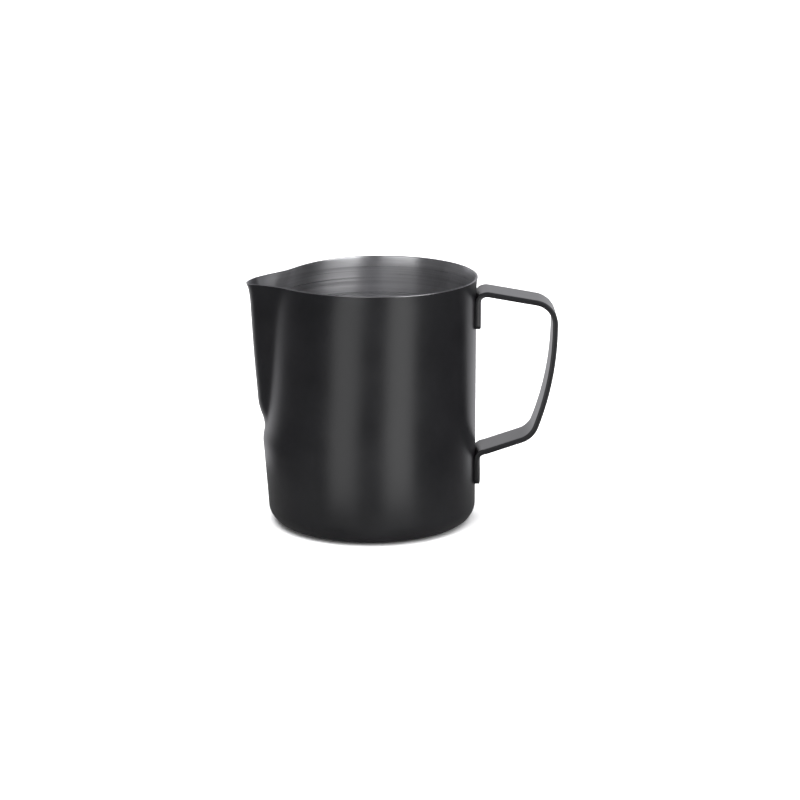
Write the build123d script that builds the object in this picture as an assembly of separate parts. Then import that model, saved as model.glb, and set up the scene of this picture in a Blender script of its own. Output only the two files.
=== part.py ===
"""Milk frothing pitcher: a drawn steel jug with a pressed spout, a dark outer coating and a welded
strap handle.

Millimetres, +Z up.  The origin is on the jug's axis, on the plane it stands on.  The spout points to
-X and the handle to +X, and everything is symmetric about the XZ plane.
"""

import os
from math import atan2, cos, degrees, exp, hypot, log, pi, radians, sin, sqrt

from build123d import *

# ---- jug ----
HEIGHT = 107.4  # the rim, away from the spout
RADIUS = 45.0  # outside the coating
BASE_CORNER = 7.4
RIM_FLARE = 0.6  # how far the rim opens out beyond RADIUS
RIM_FLARE_HEIGHT = 6.0
SHEET = 0.8
COATING = 0.12

# ---- base ----
STAND_RADIUS = 37.3  # outside of the flat ring it stands on, which has no coating
RECESS_RADIUS = 31.0
RECESS_DEPTH = 1.0
RECESS_SLOPE = 1.5  # width of the sloping edge of the recess

# ---- spout ----
# (height, reach from the axis) of the keel, the spout's front line
KEEL = (
    (36.0, 38.5),
    (40.0, 43.0),
    (42.5, 45.4),
    (45.0, 46.65),
    (48.0, 47.95),
    (51.5, 48.9),
    (58.5, 49.55),
    (74.5, 50.75),
    (90.5, 51.65),
    (98.0, 52.1),
    (102.0, 52.75),
    (105.0, 53.95),
    (108.0, 55.75),
)
# (height, reach from the axis) of the wall that the spout grows out of, on the spout's own side
SPOUT_WALL = (
    (BASE_CORNER, RADIUS),
    (18.0, 45.75),
    (31.0, 46.75),
    (37.0, 47.1),
    (42.5, 45.9),
    (48.0, 45.0),
    (60.0, 43.87),
    (75.0, 43.1),
    (90.0, 42.35),
    (100.0, 41.45),
    (108.0, 40.2),
)
NOSE_RADIUS = 10.5  # of the spout's rounded front, seen from above
FLANK_NORMAL = radians(52.0)  # between the flank's outward normal and -X
CREASE_BLEND = 1.15  # softness of the crease between flank and wall
BULGE_SPREAD = radians(60.0)  # how far round the wall the bulge below the spout reaches
PINCH_SPREAD = radians(130.0)  # how far round the wall is drawn in beside the spout

# (distance from the axis towards the spout, drop) of the rim, down to the spout's tip
RIM_DROP = (
    (0.0, 0.0),
    (10.0, 0.12),
    (20.0, 0.43),
    (30.0, 0.92),
    (36.0, 1.4),
    (42.0, 1.72),
    (48.0, 2.15),
    (54.0, 3.0),
)
TIP_SLOPE = 0.17  # fall of the rim at the spout's tip, per millimetre outwards

# ---- handle ----
STRAP_WIDTH = 18.0
STRAP_THICKNESS = 2.3
STRAP_EDGE_ROUND = 0.4
FOOT_CORNER = 2.5
FOOT_GAP = 0.02  # left between foot and wall beside the welds
COATING_GAP = 0.1  # bare margin round each foot
BEND_CLEARANCE = 1.1  # the bare patch goes on this far above a foot, where the strap bends away
UPPER_FOOT_BOTTOM = 85.3
UPPER_FOOT_TOP = 97.2
TOP_BEND_RADIUS = 3.5  # radii are those of the strap's middle line
TOP_RUN_FALL = 9.9  # degrees below level
TOP_RUN_LENGTH = 20.7
SHOULDER_RADIUS = 9.6
SHOULDER_TURN = 79.35
GRIP_RADIUS = 125.2
GRIP_TURN = 21.1
HEEL_RADIUS = 9.8
HEEL_TURN = 50.95
LOWER_BEND_RADIUS = 3.5
LOWER_FOOT_BOTTOM = 16.6

# ---- spot welds ----
WELD_DIAMETER = 4.5
WELD_DEPTH_IN_FOOT = 0.5
WELD_DEPTH_IN_WALL = 0.4
WELD_SPACING = 9.0
WELD_FOOT_MARGIN = 5.5  # from the foot's lower end to the welds

# ---- how the shapes are drawn ----

STEEL_RADIUS = RADIUS - COATING
FOOT_RADIUS = STEEL_RADIUS + FOOT_GAP
STRAP_MIDDLE = FOOT_RADIUS + STRAP_THICKNESS / 2
SECTION_POINTS = 48  # of each outline round the jug
SPOUT_CROWDING = 0.65  # how strongly those points gather at the spout, from 0 to 1
CORNER_STEPS = 5
ABOVE_RIM = 108.0  # the walls are drawn this high, then trimmed to the rim
CUT_REACH = 60.0  # half the width of the block that trims them
CUT_HEIGHT = 5.0  # and its height above the rim
JOINT_TOLERANCE = 0.01  # for finding the strap's ends among its edges
WALL_HEIGHTS = (
    *(10.5, 14.0, 18.0, 24.5, 31.0, 34.0, 37.0),
    *(39.5, 42.0, 44.5, 47.0, 50.0, 54.0, 58.5),
    *(64.0, 70.0, 78.0, 86.0, 93.4, 98.0),
    *(HEIGHT - RIM_FLARE_HEIGHT, 103.4, 105.4, ABOVE_RIM),
)


def along(outline, height):
    """Reach at a height, on a smooth curve through an outline's (height, reach) points."""
    last = len(outline) - 1
    if height <= outline[0][0]:
        return outline[0][1]
    if height >= outline[last][0]:
        return outline[last][1]
    i = max(k for k in range(last) if outline[k][0] <= height)
    (z0, r0), (z1, r1) = outline[i], outline[i + 1]
    slope = (r1 - r0) / (z1 - z0)
    before = slope_at(outline, i, slope)
    after = slope_at(outline, i + 1, slope)
    t = (height - z0) / (z1 - z0)
    bend = (before - slope) * (z1 - z0) * t * (1 - t) ** 2
    return r0 + (r1 - r0) * t + bend - (after - slope) * (z1 - z0) * t * t * (1 - t)


def slope_at(outline, k, end_slope):
    """Slope of the smooth curve at point k: the mean of the slopes on both sides."""
    if k == 0 or k == len(outline) - 1:
        return end_slope
    (z0, r0), (z1, r1), (z2, r2) = outline[k - 1 : k + 2]
    return ((r1 - r0) / (z1 - z0) + (r2 - r1) / (z2 - z1)) / 2


def round_radius(height):
    """Outer radius of the jug away from the spout."""
    if height < BASE_CORNER:
        rise = BASE_CORNER - height
        return RADIUS - BASE_CORNER + sqrt(max(BASE_CORNER**2 - rise**2, 0.0))
    flare = max(0.0, (height - HEIGHT + RIM_FLARE_HEIGHT) / RIM_FLARE_HEIGHT)
    return RADIUS + RIM_FLARE * flare**2


def wall_reach(angle, height):
    """Distance from the axis to the wall, without the spout.  The angle is from -X."""
    radius = round_radius(height)
    if height <= BASE_CORNER:
        return radius
    pull = along(SPOUT_WALL, height) - radius
    if pull > 0:
        fade = (1 - min(abs(angle) / BULGE_SPREAD, 1.0) ** 4) ** 2
    else:
        fade = (1 - min(abs(angle) / PINCH_SPREAD, 1.0) ** 2) ** 2
    return radius + pull * fade


def spout_reach(angle, height):
    """Distance from the axis to the spout: a round nose with a flat flank on each side."""
    side = abs(angle)
    nose_centre = along(KEEL, height) - NOSE_RADIUS
    flank_y = NOSE_RADIUS * sin(FLANK_NORMAL)
    flank_x = nose_centre + NOSE_RADIUS * cos(FLANK_NORMAL)
    if side < atan2(flank_y, flank_x):
        return nose_centre * cos(side) + sqrt(NOSE_RADIUS**2 - (nose_centre * sin(side)) ** 2)
    flank_distance = nose_centre * cos(FLANK_NORMAL) + NOSE_RADIUS
    return flank_distance / cos(min(side - FLANK_NORMAL, 0.0))


def reach(angle, height):
    """Distance from the axis to the outside of the jug, with the crease blended."""
    wall = wall_reach(angle, height)
    if height < KEEL[0][0] or abs(angle) > pi / 2:
        return wall
    gap = (spout_reach(angle, height) - wall) / CREASE_BLEND
    return wall + CREASE_BLEND * (gap if gap > 30 else log(1 + exp(gap)))


def section_angles():
    """Angles from -X round the whole jug, closest together at the spout."""
    steps = [2 * k / SECTION_POINTS - 1 for k in range(SECTION_POINTS)]
    return [pi * (t + SPOUT_CROWDING * (t**3 - t)) for t in steps]


def ring(points, level):
    """A smooth closed wire through points (x, y) at one level."""
    return Wire([Edge.make_spline([Vector(x, y, level) for x, y in points], periodic=True)])


def wall_section(height, inset):
    """The wall's outline at a height, moved inwards by inset."""
    points = []
    for angle in section_angles():
        r = reach(angle, height)
        step = 1e-3
        turn = (reach(angle + step, height) - reach(angle - step, height)) / (2 * step) / r
        shrink = inset / hypot(1, turn)
        out = r - shrink
        aside = shrink * turn
        x = -out * cos(angle) + aside * sin(angle)
        y = out * sin(angle) + aside * cos(angle)
        points.append((x, y))
    return ring(points, height)


def corner_section(lean, inset):
    """The base corner's outline where the corner has turned by lean from flat."""
    corner = BASE_CORNER - inset
    radius = RADIUS - BASE_CORNER + corner * sin(lean)
    points = [(-radius * cos(angle), radius * sin(angle)) for angle in section_angles()]
    return ring(points, BASE_CORNER - corner * cos(lean))


def filled_jug(inset):
    """The jug as if it were solid, with its whole outside moved inwards by inset."""
    corner = [corner_section(pi / 2 * k / CORNER_STEPS, inset) for k in range(CORNER_STEPS + 1)]
    wall = [wall_section(height, inset) for height in WALL_HEIGHTS]
    return Solid.make_loft(corner + wall)


def above_the_rim():
    """What is trimmed off the top, so that the rim drops towards the spout."""
    rim = [(-distance, HEIGHT - drop) for distance, drop in RIM_DROP]
    top = HEIGHT + CUT_HEIGHT
    beyond_tip = CUT_REACH - RIM_DROP[-1][0]
    low_end = (-CUT_REACH, rim[-1][1] - TIP_SLOPE * beyond_tip)
    with BuildSketch(Plane.XZ) as side:
        with BuildLine():
            Line((CUT_REACH, HEIGHT), rim[0])
            Spline(rim, tangents=[(-1, 0), (-1, -TIP_SLOPE)])
            Polyline(rim[-1], low_end, (-CUT_REACH, top), (CUT_REACH, top), (CUT_REACH, HEIGHT))
        make_face()
    return extrude(side.sketch, amount=CUT_REACH, both=True)


def recess(shift):
    """The shallow dish stamped into the base, raised by shift."""
    below = shift - 2 * RECESS_DEPTH
    edge = RECESS_RADIUS + RECESS_SLOPE
    with BuildSketch(Plane.XZ) as half:
        with BuildLine():
            Polyline(
                (0, below),
                (edge, below),
                (edge, shift),
                (RECESS_RADIUS, shift + RECESS_DEPTH),
                (0, shift + RECESS_DEPTH),
                close=True,
            )
        make_face()
    return revolve(half.sketch, Axis.Z)


def stand_ring():
    """The flat ring that the jug stands on, sunk into the sheet above it."""
    thickness = COATING + SHEET / 2
    return extrude(Circle(STAND_RADIUS) - Circle(RECESS_RADIUS), amount=thickness)


def jug_body(steel, rim_cut, weld_holes):
    """The steel sheet: wall, spout and dished base in one piece."""
    inside = filled_jug(COATING + SHEET) - recess(SHEET)
    return steel + stand_ring() - inside - recess(0.0) - rim_cut - weld_holes


def body_coating(steel, rim_cut):
    """The dark layer on the outside, left off under the handle's feet and on the stand ring."""
    stand = Cylinder(STAND_RADIUS, 2 * SHEET)
    bare = foot_outline(UPPER_FOOT_BOTTOM, UPPER_FOOT_TOP + BEND_CLEARANCE, COATING_GAP)
    bare += foot_outline(LOWER_FOOT_BOTTOM, lower_foot_top() + BEND_CLEARANCE, COATING_GAP)
    wall_layer = filled_jug(0.0) - steel - stand - rim_cut - bare
    dish_layer = split(recess(0.0) - recess(-COATING), Plane.XY, keep=Keep.TOP)
    return Compound([wall_layer, dish_layer])


def down_to_heel(left):
    """The strap's line from the top of its upper foot to its heel, left of its middle line."""
    start = (STRAP_MIDDLE - left, UPPER_FOOT_TOP)
    bend = JernArc(start, (0, 1), TOP_BEND_RADIUS + left, -90 - TOP_RUN_FALL)
    top_run = Line(bend @ 1, bend @ 1 + (bend % 1) * TOP_RUN_LENGTH)
    shoulder = JernArc(top_run @ 1, top_run % 1, SHOULDER_RADIUS + left, -SHOULDER_TURN)
    grip = JernArc(shoulder @ 1, shoulder % 1, GRIP_RADIUS + left, -GRIP_TURN)
    heel = JernArc(grip @ 1, grip % 1, HEEL_RADIUS + left, -HEEL_TURN)
    return [bend, top_run, shoulder, grip, heel]


def strap_line(left):
    """The strap's line from foot to foot, left of its middle line."""
    lower_bend_turn = TOP_RUN_FALL + SHOULDER_TURN + GRIP_TURN + HEEL_TURN - 90
    middle_heel = down_to_heel(0)[-1]
    bend_width = LOWER_BEND_RADIUS * (1 - cos(radians(lower_bend_turn)))
    run_length = (STRAP_MIDDLE + bend_width - (middle_heel @ 1).X) / (middle_heel % 1).X
    parts = down_to_heel(left)
    heel = parts[-1]
    lower_run = Line(heel @ 1, heel @ 1 + (heel % 1) * run_length)
    lower_bend = JernArc(lower_run @ 1, lower_run % 1, LOWER_BEND_RADIUS - left, lower_bend_turn)
    return parts + [lower_run, lower_bend]


def strap_loop():
    """The flat strap between its feet, with its long edges rounded."""
    inner = strap_line(STRAP_THICKNESS / 2)
    outer = strap_line(-STRAP_THICKNESS / 2)
    ends = [Line(inner[0] @ 0, outer[0] @ 0), Line(inner[-1] @ 1, outer[-1] @ 1)]
    side = Plane.XZ * make_face(Curve() + inner + outer + ends)
    loop = extrude(side, amount=STRAP_WIDTH / 2, both=True)
    near_and_far = loop.faces().sort_by(Axis.Y)
    rims = near_and_far[0].edges() + near_and_far[-1].edges()
    long_edges = [e for e in rims if not on_foot_joint(e, inner, outer)]
    return fillet(long_edges, STRAP_EDGE_ROUND)


def on_foot_joint(edge, inner, outer):
    """Whether an edge lies across the strap's end, where a foot carries on."""
    heights = ((inner[0] @ 0).Y, (inner[-1] @ 1).Y)
    box = edge.bounding_box()
    level = box.size.Z < JOINT_TOLERANCE
    return level and any(abs(box.center().Z - height) < JOINT_TOLERANCE for height in heights)


def foot_outline(bottom, top, margin=0.0):
    """A foot's outline seen along X, with rounded lower corners, as a block through the wall."""
    size = (STRAP_WIDTH + 2 * margin, top - bottom + 2 * margin)
    plate = Plane.YZ * (Pos(0, (top + bottom) / 2) * Rectangle(*size))
    lower = plate.vertices().sort_by(Axis.Z)[:2]
    return extrude(fillet(lower, FOOT_CORNER), amount=2 * RADIUS)


def foot(bottom, top):
    """One foot of the strap, curved to the jug's wall."""
    shell = Cylinder(FOOT_RADIUS + STRAP_THICKNESS, 3 * HEIGHT) - Cylinder(FOOT_RADIUS, 3 * HEIGHT)
    return foot_outline(bottom, top) & shell


def lower_foot_top():
    """The height where the lower foot joins the strap's lower bend."""
    return (strap_line(0)[-1] @ 1).Y


def welds(height):
    """Two round weld nuggets side by side, between a foot and the wall."""
    length = WELD_DEPTH_IN_WALL + WELD_DEPTH_IN_FOOT
    nugget = Cylinder(WELD_DIAMETER / 2, length, rotation=(0, 90, 0))
    reach_out = STEEL_RADIUS + (WELD_DEPTH_IN_FOOT - WELD_DEPTH_IN_WALL) / 2
    turn = degrees(WELD_SPACING / 2 / STEEL_RADIUS)
    place = Pos(reach_out, 0, height) * nugget
    return Compound([Rot(0, 0, turn) * place, Rot(0, 0, -turn) * place])


def main():
    steel = filled_jug(COATING)
    rim_cut = above_the_rim()
    upper_welds = welds(UPPER_FOOT_BOTTOM + WELD_FOOT_MARGIN)
    lower_welds = welds(LOWER_FOOT_BOTTOM + WELD_FOOT_MARGIN)
    strap = foot(UPPER_FOOT_BOTTOM, UPPER_FOOT_TOP) + foot(LOWER_FOOT_BOTTOM, lower_foot_top())
    strap += strap_loop()
    nodes = {
        "jug_body": jug_body(steel, rim_cut, upper_welds + lower_welds),
        "body_coating": body_coating(steel, rim_cut),
        "handle_strap": strap - upper_welds - lower_welds,
        "upper_foot_welds": upper_welds,
        "lower_foot_welds": lower_welds,
    }
    os.makedirs("parts", exist_ok=True)
    for name, shape in nodes.items():
        export_step(shape, f"parts/{name}.step")


main()
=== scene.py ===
"""Milk frothing pitcher: matt dark jug with a bare brushed inside and a bent strap handle.

Lengths in the shape formulas are millimetres in the object's own frame: the spout points to -X, the
handle to +X, and the base stands on z = 0.  Meshes are written in metres.
"""

from math import atan2, cos, exp, hypot, log, pi, radians, sin, sqrt

import bmesh
import bpy
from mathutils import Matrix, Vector


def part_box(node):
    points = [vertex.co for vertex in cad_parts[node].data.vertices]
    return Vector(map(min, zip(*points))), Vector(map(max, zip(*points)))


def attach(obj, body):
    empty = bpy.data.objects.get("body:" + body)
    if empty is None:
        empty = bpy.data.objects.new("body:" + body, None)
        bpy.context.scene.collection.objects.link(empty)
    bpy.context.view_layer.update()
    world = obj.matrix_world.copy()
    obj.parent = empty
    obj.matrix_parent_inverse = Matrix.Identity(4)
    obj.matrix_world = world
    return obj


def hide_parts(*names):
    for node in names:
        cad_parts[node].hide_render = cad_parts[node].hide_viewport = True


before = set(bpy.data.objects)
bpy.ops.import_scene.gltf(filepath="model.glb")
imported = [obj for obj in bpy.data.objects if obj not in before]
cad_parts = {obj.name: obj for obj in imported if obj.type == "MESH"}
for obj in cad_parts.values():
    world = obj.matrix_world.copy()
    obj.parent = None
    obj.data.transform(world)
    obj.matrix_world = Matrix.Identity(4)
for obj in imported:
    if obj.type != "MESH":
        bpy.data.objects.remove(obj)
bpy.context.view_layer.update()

MM = 0.001

# ---- jug, in millimetres ----
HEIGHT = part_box("jug_body")[1][2] / MM
RADIUS = 45.0
BASE_CORNER = 7.4
RIM_FLARE = 0.6
RIM_FLARE_HEIGHT = 6.0
SHEET = 0.8
COATING = 0.12
STAND_RADIUS = 37.3
RECESS_RADIUS = 31.0
RECESS_DEPTH = 1.0
RECESS_SLOPE = 1.5
RIM_ROUND = 0.3
STAND_EDGE = 0.1  # bevel of the stand ring's outer edge
DISH_RADII = (4, 10, 16, 22, 27, 29.5, 30.3, 30.8, 31.2, 31.6, 32.0, 32.4, 32.8, 33.4)
DISH_SOFTNESS = 1.8  # the recess's sloping edge is spread over this many times its width
COATING_STOP = 0.2  # the coating ends this far below the rim's top
COATING_GAP = 0.01  # between the coating's hidden back and the steel
COATING_EDGE = 0.03  # rounding of its upper edge
COATING_START = 0.02  # its lower edge is this far outside the stand ring

# ---- spout: (height, reach from the axis) of the keel and of the wall beside it ----
KEEL = (
    (36.0, 38.5),
    (40.0, 43.0),
    (42.5, 45.4),
    (45.0, 46.65),
    (48.0, 47.95),
    (51.5, 48.9),
    (58.5, 49.55),
    (74.5, 50.75),
    (90.5, 51.65),
    (98.0, 52.1),
    (102.0, 52.75),
    (105.0, 53.95),
    (108.0, 55.75),
)
SPOUT_WALL = (
    (BASE_CORNER, RADIUS),
    (18.0, 45.75),
    (31.0, 46.75),
    (37.0, 47.1),
    (42.5, 45.9),
    (48.0, 45.0),
    (60.0, 43.87),
    (75.0, 43.1),
    (90.0, 42.35),
    (100.0, 41.45),
    (108.0, 40.2),
)
RIM_DROP = (
    (0.0, 0.0),
    (10.0, 0.12),
    (20.0, 0.43),
    (30.0, 0.92),
    (36.0, 1.4),
    (42.0, 1.72),
    (48.0, 2.15),
    (54.0, 3.0),
)
NOSE_RADIUS = 10.5
FLANK_NORMAL = radians(52.0)
CREASE_BLEND = 1.15
BULGE_SPREAD = radians(60.0)  # how far round the wall the bulge below the spout reaches
PINCH_SPREAD = radians(130.0)  # how far round the wall is drawn in beside the spout

# ---- handle ----
STRAP_WIDTH = 18.0
STRAP_THICKNESS = 2.28  # a hair less than the CAD strap, so as to stay inside its box
STRAP_EDGE_ROUND = 0.4
END_DISTANCES = (0.04, 0.15, 0.3, 0.5)  # of the extra sections near each end of the strap
BOW_LEAD = 1.0  # the feet's curve starts to fade this far before they end
BOW_FADE = 7.0  # and is gone after this length
FOOT_CORNER = 2.5
FOOT_GAP = 0.02  # between the feet and the steel
FOOT_RADIUS = RADIUS - COATING + FOOT_GAP
STRAP_MIDDLE = FOOT_RADIUS + STRAP_THICKNESS / 2
UPPER_FOOT_BOTTOM = 85.3
UPPER_FOOT_TOP = 97.2
TOP_BEND_RADIUS = 3.5
TOP_RUN_FALL = 9.9
TOP_RUN_LENGTH = 20.7
SHOULDER_RADIUS = 9.6
SHOULDER_TURN = 79.35
GRIP_RADIUS = 125.2
GRIP_TURN = 21.1
HEEL_RADIUS = 9.8
HEEL_TURN = 50.95
LOWER_BEND_RADIUS = 3.5
LOWER_FOOT_BOTTOM = 16.6

# ---- mesh fineness ----
ANGLES = 240
SPOUT_CROWDING = 0.55  # how strongly the angles gather at the spout, from 0 to 1
ANGLE_STEP = 1e-3  # for measuring how the wall turns
WALL_STEPS = 120
BACK_STEPS = 60  # of the hidden back of the coating
CORNER_STEPS = 10
RIM_PASSES = 6  # to find the rim's height, which depends on the reach at that height
PATH_SPACING = 0.7  # along the strap, in millimetres
PATH_TURN = 6  # along the strap's bends, in degrees

# ---- stage, in metres ----
FLOOR_HALF = 6.0
FLOOR_HEIGHT = -0.00005
SHADE_RADIUS = 0.105
SHADE_SIDES = 48
SHADE_HEIGHT = -0.0002
PANEL_DISTANCE = 1.5
# (name, azimuth in degrees, width, low edge, high edge, radiance)
PANELS = (
    ("strip_left", 59, 0.82, -1.8, 0.2, 1.5),
    ("strip_right", 119.5, 0.82, -1.8, 0.2, 1.9),
    ("upper_left", 63, 1.3, 0.25, 2.0, 0.85),
    ("upper_right", 136, 1.2, 0.25, 2.0, 2.6),
)


# ======================================================================== shape of the jug


def smooth(t):
    """A smooth step from 0 to 1."""
    t = min(max(t, 0.0), 1.0)
    return t * t * (3 - 2 * t)


def slope_at(outline, k, end_slope):
    """Slope of the smooth curve at point k: the mean of the slopes on both sides."""
    if k == 0 or k == len(outline) - 1:
        return end_slope
    (z0, r0), (z1, r1), (z2, r2) = outline[k - 1 : k + 2]
    return ((r1 - r0) / (z1 - z0) + (r2 - r1) / (z2 - z1)) / 2


def along(outline, at):
    """The second value of an outline at the first, on a smooth curve through its points."""
    last = len(outline) - 1
    if at <= outline[0][0]:
        return outline[0][1]
    if at >= outline[last][0]:
        return outline[last][1]
    i = max(k for k in range(last) if outline[k][0] <= at)
    (z0, r0), (z1, r1) = outline[i], outline[i + 1]
    slope = (r1 - r0) / (z1 - z0)
    before = slope_at(outline, i, slope)
    after = slope_at(outline, i + 1, slope)
    t = (at - z0) / (z1 - z0)
    bend = (before - slope) * (z1 - z0) * t * (1 - t) ** 2
    return r0 + (r1 - r0) * t + bend - (after - slope) * (z1 - z0) * t * t * (1 - t)


def wall_reach(angle, height):
    """Distance from the axis to the wall, without the spout.  The angle is from -X."""
    flare = max(0.0, (height - HEIGHT + RIM_FLARE_HEIGHT) / RIM_FLARE_HEIGHT)
    radius = RADIUS + RIM_FLARE * flare**2
    pull = along(SPOUT_WALL, height) - radius
    if pull > 0:
        fade = (1 - min(abs(angle) / BULGE_SPREAD, 1.0) ** 4) ** 2
    else:
        fade = (1 - min(abs(angle) / PINCH_SPREAD, 1.0) ** 2) ** 2
    return radius + pull * fade


def spout_reach(angle, height):
    """Distance from the axis to the spout: a round nose with a flat flank on each side."""
    side = abs(angle)
    nose_centre = along(KEEL, height) - NOSE_RADIUS
    flank_y = NOSE_RADIUS * sin(FLANK_NORMAL)
    flank_x = nose_centre + NOSE_RADIUS * cos(FLANK_NORMAL)
    if side < atan2(flank_y, flank_x):
        return nose_centre * cos(side) + sqrt(NOSE_RADIUS**2 - (nose_centre * sin(side)) ** 2)
    flank_distance = nose_centre * cos(FLANK_NORMAL) + NOSE_RADIUS
    return flank_distance / cos(min(side - FLANK_NORMAL, 0.0))


def reach(angle, height):
    """Distance from the axis to the outside of the jug, with the crease blended."""
    wall = wall_reach(angle, height)
    if height < KEEL[0][0] or abs(angle) > pi / 2:
        return wall
    gap = (spout_reach(angle, height) - wall) / CREASE_BLEND
    return wall + CREASE_BLEND * log(1 + exp(gap))


def rim_height(angle):
    """Height of the rim at an angle: it drops towards the spout."""
    height = HEIGHT
    for _ in range(RIM_PASSES):
        height = HEIGHT - along(RIM_DROP, reach(angle, height) * cos(angle))
    return height


def wall_point(angle, height, inset):
    """A point of the wall, moved inwards by inset."""
    r = reach(angle, height)
    rise = reach(angle + ANGLE_STEP, height) - reach(angle - ANGLE_STEP, height)
    turn = rise / (2 * ANGLE_STEP) / r
    shrink = inset / hypot(1, turn)
    out = r - shrink
    aside = shrink * turn
    x = -out * cos(angle) + aside * sin(angle)
    y = out * sin(angle) + aside * cos(angle)
    return Vector((x, y, height))


def circle_ring(radius, height):
    """One ring of a surface of revolution."""
    return [Vector((-radius * cos(a), radius * sin(a), height)) for a in JUG_ANGLES]


def jug_angles():
    """Angles from -X round the whole jug, closest together at the spout."""
    steps = [2 * k / ANGLES - 1 for k in range(ANGLES)]
    return [pi * (t + SPOUT_CROWDING * (t**3 - t)) for t in steps]


JUG_ANGLES = jug_angles()
RIM = [rim_height(angle) for angle in JUG_ANGLES]


def wall_rings(inset, below_rim, steps=WALL_STEPS):
    """Rings of the wall from the base corner up to below_rim under the rim."""
    rings = []
    for k in range(steps + 1):
        up = k / steps
        ring = []
        for angle, rim in zip(JUG_ANGLES, RIM):
            height = BASE_CORNER + (rim - below_rim - BASE_CORNER) * up
            ring.append(wall_point(angle, height, inset))
        rings.append(ring)
    return rings


def corner_rings(inset):
    """Rings of the base corner, from the base plane out to the wall."""
    corner = BASE_CORNER - inset
    rings = []
    for k in range(CORNER_STEPS):
        lean = pi / 2 * k / CORNER_STEPS
        radius = RADIUS - BASE_CORNER + corner * sin(lean)
        rings.append(circle_ring(radius, BASE_CORNER - corner * cos(lean)))
    return rings


def rim_rings(outer_inset, inner_inset, round_by, below_rim=0.0, steps=4):
    """Rings over a rounded edge at the rim, from the outer side over the top to the inner side."""
    leans = [pi / 2 * k / steps for k in range(steps + 1)]
    edge = [(outer_inset + round_by * (1 - cos(a)), round_by * (1 - sin(a))) for a in leans]
    edge += [(inner_inset - round_by * (1 - cos(a)), round_by * (1 - sin(a))) for a in leans[::-1]]
    return [
        [wall_point(a, rim - below_rim - drop, inset) for a, rim in zip(JUG_ANGLES, RIM)]
        for inset, drop in edge
    ]


def dish_rings(floor, shift):
    """Rings of the dished base from the middle outwards: raised inside, flat outside."""
    rings = []
    middle = RECESS_RADIUS + RECESS_SLOPE / 2
    for radius in DISH_RADII:
        fall = smooth((radius - middle) / (DISH_SOFTNESS * RECESS_SLOPE) + 0.5)
        height = max(RECESS_DEPTH * (1 - fall) + shift, floor)
        rings.append(circle_ring(radius, height))
    return rings


# ======================================================================== shape of the handle


def strap_steps():
    """The strap's middle line from foot to foot, as (length, radius, turn in degrees) steps."""
    heel_heading = 90 - (90 + TOP_RUN_FALL) - SHOULDER_TURN - GRIP_TURN - HEEL_TURN
    steps = [
        (UPPER_FOOT_TOP - UPPER_FOOT_BOTTOM, 0, 0),
        (0, TOP_BEND_RADIUS, -90 - TOP_RUN_FALL),
        (TOP_RUN_LENGTH, 0, 0),
        (0, SHOULDER_RADIUS, -SHOULDER_TURN),
        (0, GRIP_RADIUS, -GRIP_TURN),
        (0, HEEL_RADIUS, -HEEL_TURN),
    ]
    heel = walk(steps)[-1]
    lower_turn = -90 - heel_heading
    bend_width = LOWER_BEND_RADIUS * (1 - cos(radians(lower_turn)))
    steps.append(((STRAP_MIDDLE + bend_width - heel[0]) / cos(radians(heel_heading)), 0, 0))
    steps.append((0, LOWER_BEND_RADIUS, lower_turn))
    steps.append((walk(steps)[-1][1] - LOWER_FOOT_BOTTOM, 0, 0))
    return steps


def walk(steps):
    """Points (x, z, heading, distance walked) along a line given as steps from the upper foot."""
    x, z, heading, gone = STRAP_MIDDLE, UPPER_FOOT_BOTTOM, pi / 2, 0.0
    points = [(x, z, heading, gone)]
    for length, radius, turn in steps:
        length = length or radius * radians(abs(turn))
        count = max(1, round(length / PATH_SPACING), round(abs(turn) / PATH_TURN))
        for _ in range(count):
            bend = radians(turn) / count
            stride = length / count
            chord = stride if not bend else 2 * radius * sin(abs(bend) / 2)
            x += chord * cos(heading + bend / 2)
            z += chord * sin(heading + bend / 2)
            heading += bend
            gone += stride
            points.append((x, z, heading, gone))
    return points


def strap_profile(half_width, half_thickness, round_by, face_steps=12, corner_steps=4):
    """Points (sideways, outwards) round the strap's section, a flat bar with rounded edges."""
    points = []
    for side in (1, -1):
        for k in range(face_steps + 1):
            across = 1 - 2 * k / face_steps
            points.append((side * across * (half_width - round_by), side * half_thickness))
        for k in range(1, 2 * corner_steps):
            a = pi / 2 - pi / 2 * k / corner_steps
            away = half_width - round_by + round_by * cos(a)
            if a > 0:
                out = half_thickness - round_by * (1 - sin(a))
            else:
                out = -half_thickness + round_by * (1 + sin(a))
            points.append((-side * away, side * out))
    return points


def corner_cut(distance, radius):
    """How far a rounded corner has drawn a side in, at a distance from the end."""
    left = max(radius - distance, 0.0)
    return radius - sqrt(max(radius**2 - left**2, 0.0))


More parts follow.
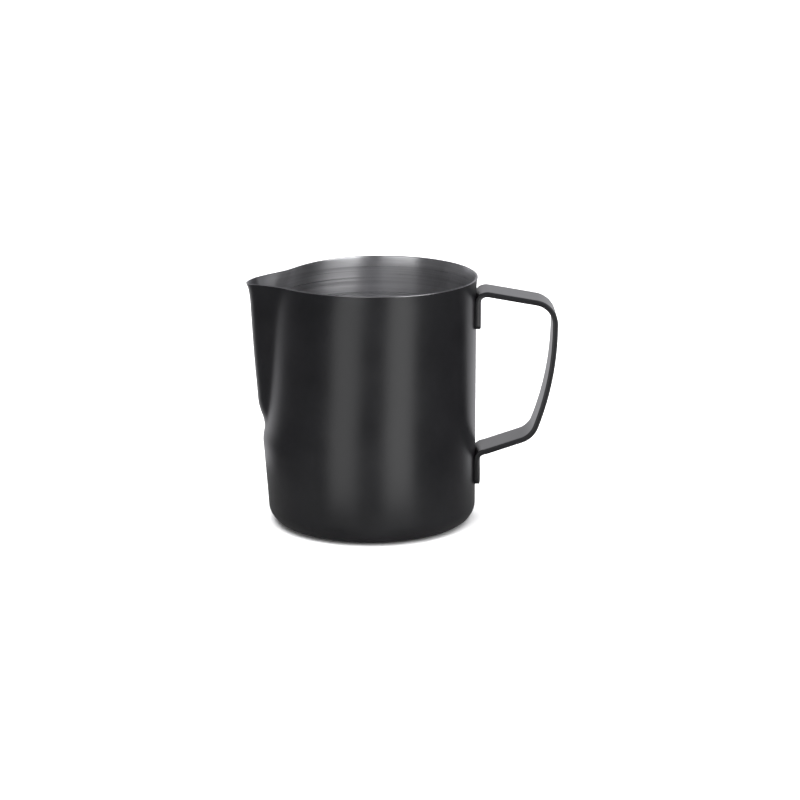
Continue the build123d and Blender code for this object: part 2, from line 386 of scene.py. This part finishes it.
def strap_rings():
    """Sections of the strap from end to end: curved to the wall at the feet, flat between."""
    path = walk(strap_steps())
    total = path[-1][3]
    upper_foot = UPPER_FOOT_TOP - UPPER_FOOT_BOTTOM
    lower_foot = strap_steps()[-1][0]
    rings = []
    for x, z, heading, gone in with_close_ends(path):
        from_end = min(gone, total - gone)
        foot_length = upper_foot if gone < total / 2 else lower_foot
        bow = 1 - smooth((from_end - foot_length + BOW_LEAD) / BOW_FADE)
        half_width = STRAP_WIDTH / 2 - corner_cut(from_end, FOOT_CORNER)
        half_thickness = STRAP_THICKNESS / 2 - corner_cut(from_end, STRAP_EDGE_ROUND)
        outward = 1 if gone < total / 2 else -1
        round_by = min(STRAP_EDGE_ROUND, half_thickness * 0.98)  # never quite the whole thickness
        ring = []
        for y, n in strap_profile(half_width, half_thickness, round_by):
            sag = bow * (STRAP_MIDDLE - sqrt(STRAP_MIDDLE**2 - y * y))
            shift = n - outward * sag
            ring.append(Vector((x + shift * sin(heading), y, z - shift * cos(heading))))
        rings.append(ring)
    return rings


def with_close_ends(path):
    """The path with extra points close to both ends, where the strap's edges are rounded."""
    first, last = path[0], path[-1]
    start = [moved(first, d) for d in END_DISTANCES]
    finish = [moved(last, -d) for d in reversed(END_DISTANCES)]
    return [first] + start + path[1:-1] + finish + [last]


def moved(point, distance):
    """A path point moved along its heading."""
    x, z, heading, gone = point
    return x + distance * cos(heading), z + distance * sin(heading), heading, gone + distance


# ======================================================================== meshes


def mesh_piece(name, islands, node, material):
    """One smooth piece from islands of rings, standing for a CAD node.

    An island is (rings, closed): closed joins its last ring to its first; otherwise its first and
    last rings are filled."""
    vertices, faces = [], []
    for rings, closed in islands:
        base = len(vertices)
        size = len(rings[0])
        vertices += [point * MM for ring in rings for point in ring]
        pairs = len(rings) if closed else len(rings) - 1
        for i in range(pairs):
            here = base + i * size
            there = base + (i + 1) % len(rings) * size
            for k in range(size):
                nxt = (k + 1) % size
                faces.append((here + k, here + nxt, there + nxt, there + k))
        if not closed:
            faces.append(tuple(base + k for k in reversed(range(size))))
            faces.append(tuple(base + (len(rings) - 1) * size + k for k in range(size)))
    mesh = bpy.data.meshes.new(name)
    mesh.from_pydata(vertices, [], faces)
    mesh.update()
    mesh.polygons.foreach_set("use_smooth", [True] * len(mesh.polygons))
    mesh.materials.append(material)
    piece = bpy.data.objects.new(name, mesh)
    bpy.context.scene.collection.objects.link(piece)
    fix_normals(piece)
    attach(piece, "root")
    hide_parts(node)


def fix_normals(piece):
    """Turns the faces of each closed island outwards."""
    work = bmesh.new()
    work.from_mesh(piece.data)
    bmesh.ops.recalc_face_normals(work, faces=work.faces)
    work.to_mesh(piece.data)
    work.free()


def make_jug(steel):
    """The steel sheet: dished base, wall, spout and rounded rim, inside and outside."""
    inner = COATING + SHEET
    rings = dish_rings(0.0, 0.0)
    rings.append(circle_ring(STAND_RADIUS - STAND_EDGE, 0.0))
    rings.append(circle_ring(STAND_RADIUS, STAND_EDGE))
    rings += corner_rings(COATING) + wall_rings(COATING, RIM_ROUND)
    rings += rim_rings(COATING, inner, RIM_ROUND)[1:-1]
    rings += wall_rings(inner, RIM_ROUND)[::-1] + corner_rings(inner)[::-1]
    rings += dish_rings(inner, SHEET)[::-1]
    mesh_piece("jug_steel", [(rings, False)], "jug_body", steel)


def make_coating(coat):
    """The dark layer on the wall and in the dish of the base."""
    back = COATING - COATING_GAP
    top = COATING_STOP + COATING_EDGE
    rings = [circle_ring(STAND_RADIUS + COATING_START, 0.0)] + corner_rings(0.0)
    rings += wall_rings(0.0, top) + rim_rings(0.0, back, COATING_EDGE, COATING_STOP)[1:-1]
    rings += wall_rings(back, top, BACK_STEPS)[::-1] + corner_rings(back)[::-1]
    dish = dish_rings(0.0, -COATING)[:-1]
    dish += dish_rings(COATING_GAP, -COATING_GAP)[:-1][::-1]
    islands = [(rings, True), (dish, False)]
    mesh_piece("jug_coating", islands, "body_coating", coat)


def make_handle(coat):
    """The bent strap."""
    mesh_piece("strap_handle", [(strap_rings(), False)], "handle_strap", coat)


# ======================================================================== materials


class Shader:
    """A small helper that adds and links nodes in one material."""

    def __init__(self, name):
        self.material = bpy.data.materials.new(name)
        self.material.use_nodes = True
        self.tree = self.material.node_tree
        self.surface = self.tree.nodes["Principled BSDF"]

    def node(self, kind, inputs=None, **settings):
        """Adds a node, sets its properties, and sets or links its inputs."""
        new = self.tree.nodes.new("ShaderNode" + kind)
        for key, value in settings.items():
            setattr(new, key, value)
        for key, value in (inputs or {}).items():
            self.feed(new.inputs[key], value)
        return new

    def feed(self, socket, value):
        """Links a socket to an output, or sets it to a plain value."""
        if isinstance(value, bpy.types.NodeSocket):
            self.tree.links.new(value, socket)
        else:
            socket.default_value = value

    def math(self, operation, a, b=0.0):
        """The output of a Math node."""
        return self.node("Math", {0: a, 1: b}, operation=operation).outputs[0]

    def stretched(self, place, scales, detail):
        """Noise in a place (x, y, z) multiplied by scales."""
        parts = {axis: self.math("MULTIPLY", p, k) for axis, p, k in zip("XYZ", place, scales)}
        vector = self.node("CombineXYZ", parts).outputs[0]
        return self.node("TexNoise", {"Vector": vector, "Scale": 1.0, "Detail": detail}).outputs[0]

    def ramp(self, value, low, high, start, end):
        """value from start..end mapped to low..high, held outside."""
        inputs = {"Value": value, "From Min": start, "From Max": end, "To Min": low, "To Max": high}
        return self.node("MapRange", inputs).outputs["Result"]

    def set(self, **values):
        """Sets or links the surface's inputs, named with underscores."""
        for key, value in values.items():
            self.feed(self.surface.inputs[key.replace("_", " ")], value)


def coating_material():
    """Matt black coating with a fine orange-peel grain and faint cloudiness."""
    s = Shader("dark_coating")
    place = s.node("TexCoord").outputs["Object"]
    grain = s.node("TexNoise", {"Vector": place, "Scale": 2600.0, "Detail": 3.0}).outputs[0]
    cloud = s.node("TexNoise", {"Vector": place, "Scale": 45.0, "Detail": 4.0}).outputs[0]
    shade = s.ramp(cloud, 0.0, 1.0, 0.3, 0.7)
    colour = s.node(
        "Mix",
        {"Factor": shade, "A": (0.0038, 0.0038, 0.0046, 1), "B": (0.0062, 0.0062, 0.0072, 1)},
        data_type="RGBA",
    )
    bump = s.node("Bump", {"Height": grain, "Strength": 0.12, "Distance": 0.00004})
    s.set(Base_Color=colour.outputs["Result"], Roughness=s.ramp(cloud, 0.29, 0.33, 0.3, 0.7))
    s.set(Specular_IOR_Level=0.4, Normal=bump.outputs[0])
    return s.material


def steel_material():
    """Stainless steel brushed round the axis, with painted shade darkening the rim's top edge and
    the inside of the spout's tip.
    """
    s = Shader("bare_steel")
    place = s.node("TexCoord").outputs["Object"]
    split = s.node("SeparateXYZ", {"Vector": place})
    x, y, z = split.outputs
    radius = s.math("SQRT", s.math("ADD", s.math("MULTIPLY", x, x), s.math("MULTIPLY", y, y)))
    climb = s.math("ADD", z, s.math("MINIMUM", radius, STAND_RADIUS * MM))
    lines = s.stretched((x, y, climb), (14.0, 14.0, 2600.0), 4.0)
    bands = s.stretched((x, y, climb), (6.0, 6.0, 700.0), 3.0)
    shade = s.math("ADD", s.math("MULTIPLY", lines, 0.75), s.math("MULTIPLY", bands, 0.25))
    colour = s.node(
        "Mix",
        {"Factor": s.ramp(shade, 0.0, 1.0, 0.35, 0.65), "A": (0.57, 0.57, 0.585, 1),
         "B": (0.69, 0.69, 0.705, 1)},
        data_type="RGBA",
    )
    normal = s.node("TexCoord").outputs["Normal"]
    # Painted shade: the upward-facing top of the rim and the inside of the spout's tip are darkened
    # and made rougher, to dim their reflections.
    facing_up = s.ramp(s.node("SeparateXYZ", {"Vector": normal}).outputs[2], 0.0, 1.0, 0.3, 0.7)
    edge = s.math("MULTIPLY", facing_up, s.ramp(z, 0.0, 1.0, 0.094, 0.096))
    towards_tip = s.ramp(x, 0.9, 0.0, -0.047, -0.034)
    spout_tip_shade = s.math("MULTIPLY", towards_tip, s.ramp(z, 0.0, 1.0, 0.05, 0.09))
    painted_shade_mask = s.math("MAXIMUM", edge, spout_tip_shade)
    # Mixes in the painted shade: the colour goes towards dark grey where the painted shade mask is
    # set.
    colour = s.node(
        "Mix", {"Factor": painted_shade_mask, "A": colour.outputs["Result"], "B": (0.16, 0.16, 0.17, 1)},
        data_type="RGBA",
    )
    roughness = s.ramp(shade, 0.27, 0.36, 0.35, 0.65)
    roughness = s.math("ADD", roughness, s.math("MULTIPLY", painted_shade_mask, 0.2))
    bump = s.node("Bump", {"Height": lines, "Strength": 0.25, "Distance": 0.00003})
    around = s.node("CombineXYZ", {"X": s.math("MULTIPLY", y, -1.0), "Y": x, "Z": 0.0})
    tangent = s.node(
        "VectorTransform", {"Vector": around.outputs[0]},
        vector_type="VECTOR", convert_from="OBJECT", convert_to="WORLD",
    )
    s.set(Base_Color=colour.outputs["Result"], Metallic=1.0)
    s.set(Roughness=roughness, Anisotropic=0.8, Anisotropic_Rotation=0.25)
    s.set(Tangent=tangent.outputs[0], Normal=bump.outputs[0])
    return s.material


def weld_material():
    """Dull fused steel, hidden between foot and wall."""
    s = Shader("weld_steel")
    place = s.node("TexCoord").outputs["Object"]
    mottle = s.node("TexNoise", {"Vector": place, "Scale": 1500.0, "Detail": 4.0}).outputs[0]
    colour = s.node(
        "Mix",
        {"Factor": mottle, "A": (0.25, 0.24, 0.23, 1), "B": (0.45, 0.44, 0.43, 1)},
        data_type="RGBA",
    )
    s.set(Base_Color=colour.outputs["Result"], Metallic=1.0)
    s.set(Roughness=s.ramp(mottle, 0.45, 0.6, 0.3, 0.7))
    return s.material


def floor_material():
    """Plain pale floor with the faintest unevenness."""
    s = Shader("floor")
    place = s.node("TexCoord").outputs["Object"]
    cloud = s.node("TexNoise", {"Vector": place, "Scale": 3.0, "Detail": 2.0}).outputs[0]
    s.set(Roughness=s.ramp(cloud, 0.75, 0.85, 0.3, 0.7), Base_Color=(0.9, 0.9, 0.9, 1))
    return s.material


def shade_material():
    """Grey for the disc under the jug, a painted reflection of the table's shade."""
    s = Shader("table_shade")
    place = s.node("TexCoord").outputs["Object"]
    cloud = s.node("TexNoise", {"Vector": place, "Scale": 20.0, "Detail": 2.0}).outputs[0]
    s.set(Roughness=s.ramp(cloud, 0.85, 0.95, 0.3, 0.7), Base_Color=(0.16, 0.16, 0.16, 1))
    s.set(Specular_IOR_Level=0.1)
    return s.material


# ======================================================================== stage


def flat_piece(name, corners, material, height):
    """A flat stage piece with the given corners, at a height in metres."""
    mesh = bpy.data.meshes.new(name)
    mesh.from_pydata([(x, y, 0) for x, y in corners], [], [tuple(range(len(corners)))])
    mesh.materials.append(material)
    piece = bpy.data.objects.new(name, mesh)
    bpy.context.scene.collection.objects.link(piece)
    piece.location.z = height
    return piece


def make_floor():
    """A wide pale floor that the jug stands on, and a grey disc below it that only reflections see:
    a painted reflection of the table's shade near the base, which darkens the lowest part of the
    wall."""
    half = FLOOR_HALF
    corners = [(-half, -half), (half, -half), (half, half), (-half, half)]
    floor = flat_piece("floor", corners, floor_material(), FLOOR_HEIGHT)
    floor.visible_glossy = False
    floor.visible_shadow = False
    # Painted reflection: a grey disc under the floor, seen only in reflections, standing in for the
    # table's shade around the base.
    turns = [2 * pi * k / SHADE_SIDES for k in range(SHADE_SIDES)]
    disc = [(SHADE_RADIUS * cos(a), SHADE_RADIUS * sin(a)) for a in turns]
    shade = flat_piece("table_shade", disc, shade_material(), SHADE_HEIGHT)
    shade.visible_camera = False
    shade.visible_diffuse = False
    shade.visible_shadow = False


def panel(name, azimuth, width, low, high, radiance):
    """An upright rectangular light facing the axis, from one height to another, in metres.

    The azimuth is in degrees from -X towards the viewer's side."""
    lamp = bpy.data.lights.new(name, "AREA")
    lamp.shape = "RECTANGLE"
    lamp.size = width
    lamp.size_y = high - low
    lamp.energy = 4 * radiance * width * (high - low)
    light = bpy.data.objects.new(name, lamp)
    bpy.context.scene.collection.objects.link(light)
    away = Vector((-cos(radians(azimuth)), -sin(radians(azimuth)), 0.0))
    light.location = away * PANEL_DISTANCE + Vector((0, 0, (low + high) / 2))
    light.rotation_euler = (-away).to_track_quat("-Z", "Y").to_euler()


def world_ramp(tree, value, low, high, start, end):
    """A node for value from start..end mapped to low..high, held outside."""
    ramp = tree.nodes.new("ShaderNodeMapRange")
    limits = {"From Min": start, "From Max": end, "To Min": low, "To Max": high}
    for key, limit in limits.items():
        ramp.inputs[key].default_value = limit
    tree.links.new(value, ramp.inputs["Value"])
    return ramp


def make_world():
    """Surroundings: a white backdrop behind, some light above, darker to the sides and in front."""
    world = bpy.data.worlds.new("studio")
    bpy.context.scene.world = world
    world.use_nodes = True
    tree = world.node_tree
    direction = tree.nodes.new("ShaderNodeTexCoord").outputs["Generated"]
    split = tree.nodes.new("ShaderNodeSeparateXYZ")
    tree.links.new(direction, split.inputs[0])
    behind = world_ramp(tree, split.outputs["Y"], 0.14, 1.0, 0.44, 0.77)
    behind.interpolation_type = "SMOOTHSTEP"
    above = world_ramp(tree, split.outputs["Z"], 0.0, 0.35, 0.45, 0.8)
    both = tree.nodes.new("ShaderNodeMath")
    both.operation = "ADD"
    tree.links.new(behind.outputs["Result"], both.inputs[0])
    tree.links.new(above.outputs["Result"], both.inputs[1])
    background = tree.nodes["Background"]
    background.inputs["Color"].default_value = (0.97, 0.965, 1.0, 1)
    tree.links.new(both.outputs[0], background.inputs["Strength"])


def make_lights():
    """Two soft strips in front, reaching below the table's edge, two above them, and a wide
    light overhead for the floor."""
    for row in PANELS:
        panel(*row)
    lamp = bpy.data.lights.new("overhead", "AREA")
    lamp.size = 3.5
    lamp.energy = 200
    overhead = bpy.data.objects.new("overhead", lamp)
    bpy.context.scene.collection.objects.link(overhead)
    overhead.location.z = 2.6
    overhead.visible_glossy = False


def make_camera():
    """A long lens looking slightly down on the jug from the front."""
    data = bpy.data.cameras.new("camera")
    data.sensor_width = 36.0
    data.lens = 109.3
    data.clip_end = 50.0
    camera = bpy.data.objects.new("camera", data)
    bpy.context.scene.collection.objects.link(camera)
    camera.location = (0.01224, -1.01766, 0.31624)
    camera.rotation_euler = (pi / 2 - 0.2537, 0, 0)
    bpy.context.scene.camera = camera


steel = steel_material()
coat = coating_material()
weld = weld_material()
make_jug(steel)
make_coating(coat)
make_handle(coat)
for node in ("upper_foot_welds", "lower_foot_welds"):
    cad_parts[node].material_slots[0].material = weld
make_floor()
make_world()
make_lights()
make_camera()
bpy.context.scene.view_settings.view_transform = "Standard"
